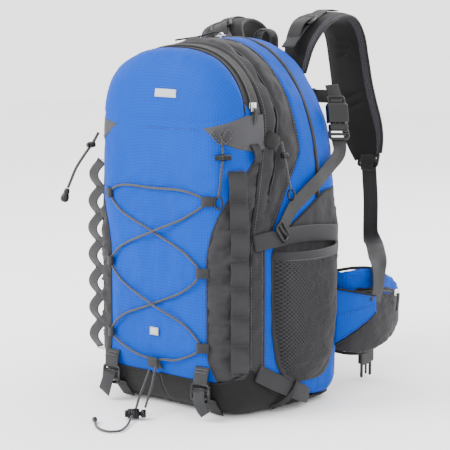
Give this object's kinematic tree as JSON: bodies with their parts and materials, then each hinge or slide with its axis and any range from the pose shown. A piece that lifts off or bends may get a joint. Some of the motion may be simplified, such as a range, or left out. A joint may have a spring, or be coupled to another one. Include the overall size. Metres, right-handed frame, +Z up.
{
  "type": "hiking daypack",
  "caption": "Panel-loading hiking daypack with arched zips, mesh bottle pockets, elastic front lacing, padded shoulder straps and a padded hip belt.",
  "frame": {"origin": "middle of the flat underside of the base", "axes": "+X to the right seen from the front, -Y out of the front panel, +Y towards the wearer's back, +Z up"},
  "size_m": [0.36, 0.5132, 0.5442],
  "materials": {
    "ripstop_blue": "ripstop weave, matt",
    "fabric_grey": "plain weave, matt",
    "fabric_black": "coated plain weave",
    "webbing_grey": "woven webbing",
    "webbing_black": "woven webbing",
    "zip_black": "zip tape and coil",
    "air_mesh_black": "spacer mesh over foam",
    "mesh_grey": "open net",
    "elastic_cord": "braided elastic cord",
    "plastic_black": "moulded acetal, satin",
    "steel": "plated, polished",
    "frame_board": "polyethylene board"
  },
  "bodies": {
    "pack": {"base_panel": "fabric_black", "main_shell": "ripstop_blue", "middle_pocket_lower": "fabric_grey", "front_pocket_lower": "ripstop_blue", "fold_gusset": "fabric_grey", "main_zip_rear": "zip_black", "back_pad_right": "air_mesh_black", "back_pad_left": "air_mesh_black", "lumbar_pad": "air_mesh_black", "frame_sheet": "frame_board", "bottle_pocket_right": "mesh_grey", "bottle_pocket_left": "mesh_grey", "compression_strap_right": "webbing_grey", "compression_strap_left": "webbing_grey", "side_buckle_socket_right": "plastic_black", "side_buckle_socket_left": "plastic_black", "webbing_ladder_right": "webbing_grey", "webbing_ladder_left": "webbing_grey", "cord_loops_right": "webbing_grey", "cord_loops_left": "webbing_grey", "base_strap_right": "webbing_grey", "base_strap_left": "webbing_grey", "ladder_lock_right": "plastic_black", "ladder_lock_left": "plastic_black", "bungee_lacing": "elastic_cord", "bungee_tail": "elastic_cord", "bungee_end": "plastic_black", "bungee_lock": "plastic_black", "load_lifter_right": "webbing_grey", "load_lifter_left": "webbing_grey"},
    "main_panel": {"main_flap": "ripstop_blue", "middle_pocket_upper": "fabric_grey", "front_pocket_upper": "fabric_grey", "main_zip_front": "zip_black", "pocket_zip": "zip_black", "tool_cord_left": "elastic_cord", "tool_bead_left": "plastic_black", "tool_cord_right": "elastic_cord", "pole_cord": "elastic_cord"},
    "front_lid": {"pocket_lid": "ripstop_blue"},
    "main_slider": {"main_slider": "steel"},
    "main_pull": {"main_pull": "webbing_grey"},
    "front_slider": {"pocket_slider": "steel"},
    "front_pull": {"pocket_pull": "webbing_grey"},
    "side_plug_right": {"side_buckle_plug_right": "plastic_black"},
    "side_plug_left": {"side_buckle_plug_left": "plastic_black"},
    "shoulder_right": {"shoulder_pad_right": "air_mesh_black", "strap_webbing_right": "webbing_grey"},
    "shoulder_left": {"shoulder_pad_left": "air_mesh_black", "strap_webbing_left": "webbing_grey", "sternum_socket": "plastic_black"},
    "chest_plug": {"sternum_plug": "plastic_black"},
    "hip_right": {"hip_wing_right": "fabric_grey", "belt_plug_strap": "webbing_black"},
    "hip_left": {"hip_wing_left": "fabric_grey", "belt_socket_strap": "webbing_black"},
    "hip_slider_right": {"hip_zip_slider_right": "steel"},
    "hip_slider_left": {"hip_zip_slider_left": "steel"},
    "handle": {"haul_handle": "fabric_black"},
    "lock_button": {"bungee_button": "plastic_black"}
  },
  "joints": [
    {"name": "main_opening", "type": "hinge", "parent": "pack", "child": "main_panel", "pos_m": [0, 0.05, 0.29], "axis": [1, 0, 0], "range_deg": [0, 22], "deforming": ["fold_gusset", "webbing_ladder_right", "webbing_ladder_left", "cord_loops_right", "cord_loops_left", "bungee_lacing", "tool_cord_right", "pole_cord"]},
    {"name": "front_pocket_opening", "type": "hinge", "parent": "main_panel", "child": "front_lid", "pos_m": [0, -0.114, 0.3912], "axis": [1, 0, 0], "range_deg": [0, 45]},
    {"name": "main_zip_slide", "type": "slide", "parent": "pack", "child": "main_slider", "axis": [1, 0, 0], "range_m": [-0.012, 0.03]},
    {"name": "main_pull_swing", "type": "hinge", "parent": "main_slider", "child": "main_pull", "pos_m": [-0.03, 0.048, 0.5114], "axis": [-0.8107, 0.5855, 0], "range_deg": [0, 110]},
    {"name": "front_zip_slide", "type": "slide", "parent": "main_panel", "child": "front_slider", "axis": [0, 0, 1], "range_m": [0, 0.024]},
    {"name": "front_pull_swing", "type": "hinge", "parent": "front_slider", "child": "front_pull", "pos_m": [0.1309, -0.058, 0.411], "axis": [0, -1, 0], "range_deg": [0, 150]},
    {"name": "side_buckle_right_slide", "type": "slide", "parent": "pack", "child": "side_plug_right", "axis": [0.2388, -0.1751, -0.9552], "range_m": [0, 0.024], "deforming": ["compression_strap_right"]},
    {"name": "side_buckle_left_slide", "type": "slide", "parent": "pack", "child": "side_plug_left", "axis": [-0.2388, -0.1751, -0.9552], "range_m": [0, 0.024], "deforming": ["compression_strap_left"]},
    {"name": "shoulder_right_swing", "type": "hinge", "parent": "pack", "child": "shoulder_right", "pos_m": [0, 0.118, 0.452], "axis": [1, 0, 0], "range_deg": [-25, 12], "deforming": ["strap_webbing_right", "load_lifter_right"]},
    {"name": "shoulder_left_swing", "type": "hinge", "parent": "pack", "child": "shoulder_left", "pos_m": [0, 0.118, 0.452], "axis": [1, 0, 0], "range_deg": [-25, 12], "deforming": ["strap_webbing_left", "load_lifter_left"]},
    {"name": "chest_buckle_slide", "type": "slide", "parent": "shoulder_right", "child": "chest_plug", "axis": [1, 0, 0], "range_m": [0, 0.024]},
    {"name": "hip_right_swing", "type": "hinge", "parent": "pack", "child": "hip_right", "pos_m": [0.12, 0.117, 0.1], "axis": [0, 0, 1], "range_deg": [-3, 30]},
    {"name": "hip_left_swing", "type": "hinge", "parent": "pack", "child": "hip_left", "pos_m": [-0.12, 0.117, 0.1], "axis": [0, 0, -1], "range_deg": [-3, 30]},
    {"name": "hip_zip_right_slide", "type": "slide", "parent": "hip_right", "child": "hip_slider_right", "axis": [0, -1, 0], "range_m": [0, 0.024]},
    {"name": "hip_zip_left_slide", "type": "slide", "parent": "hip_left", "child": "hip_slider_left", "axis": [0, -1, 0], "range_m": [0, 0.024]},
    {"name": "handle_swing", "type": "hinge", "parent": "pack", "child": "handle", "pos_m": [0, 0.113, 0.476], "axis": [1, 0, 0], "range_deg": [-60, 10]},
    {"name": "lock_button_press", "type": "slide", "parent": "pack", "child": "lock_button", "axis": [-0.7691, -0.6391, 0], "range_m": [0, 0.0022], "stiffness_N_per_m": 150}
  ],
  "couplings": [
    {"joint": "shoulder_left_swing", "follows": "shoulder_right_swing", "ratio": 1}
  ]
}
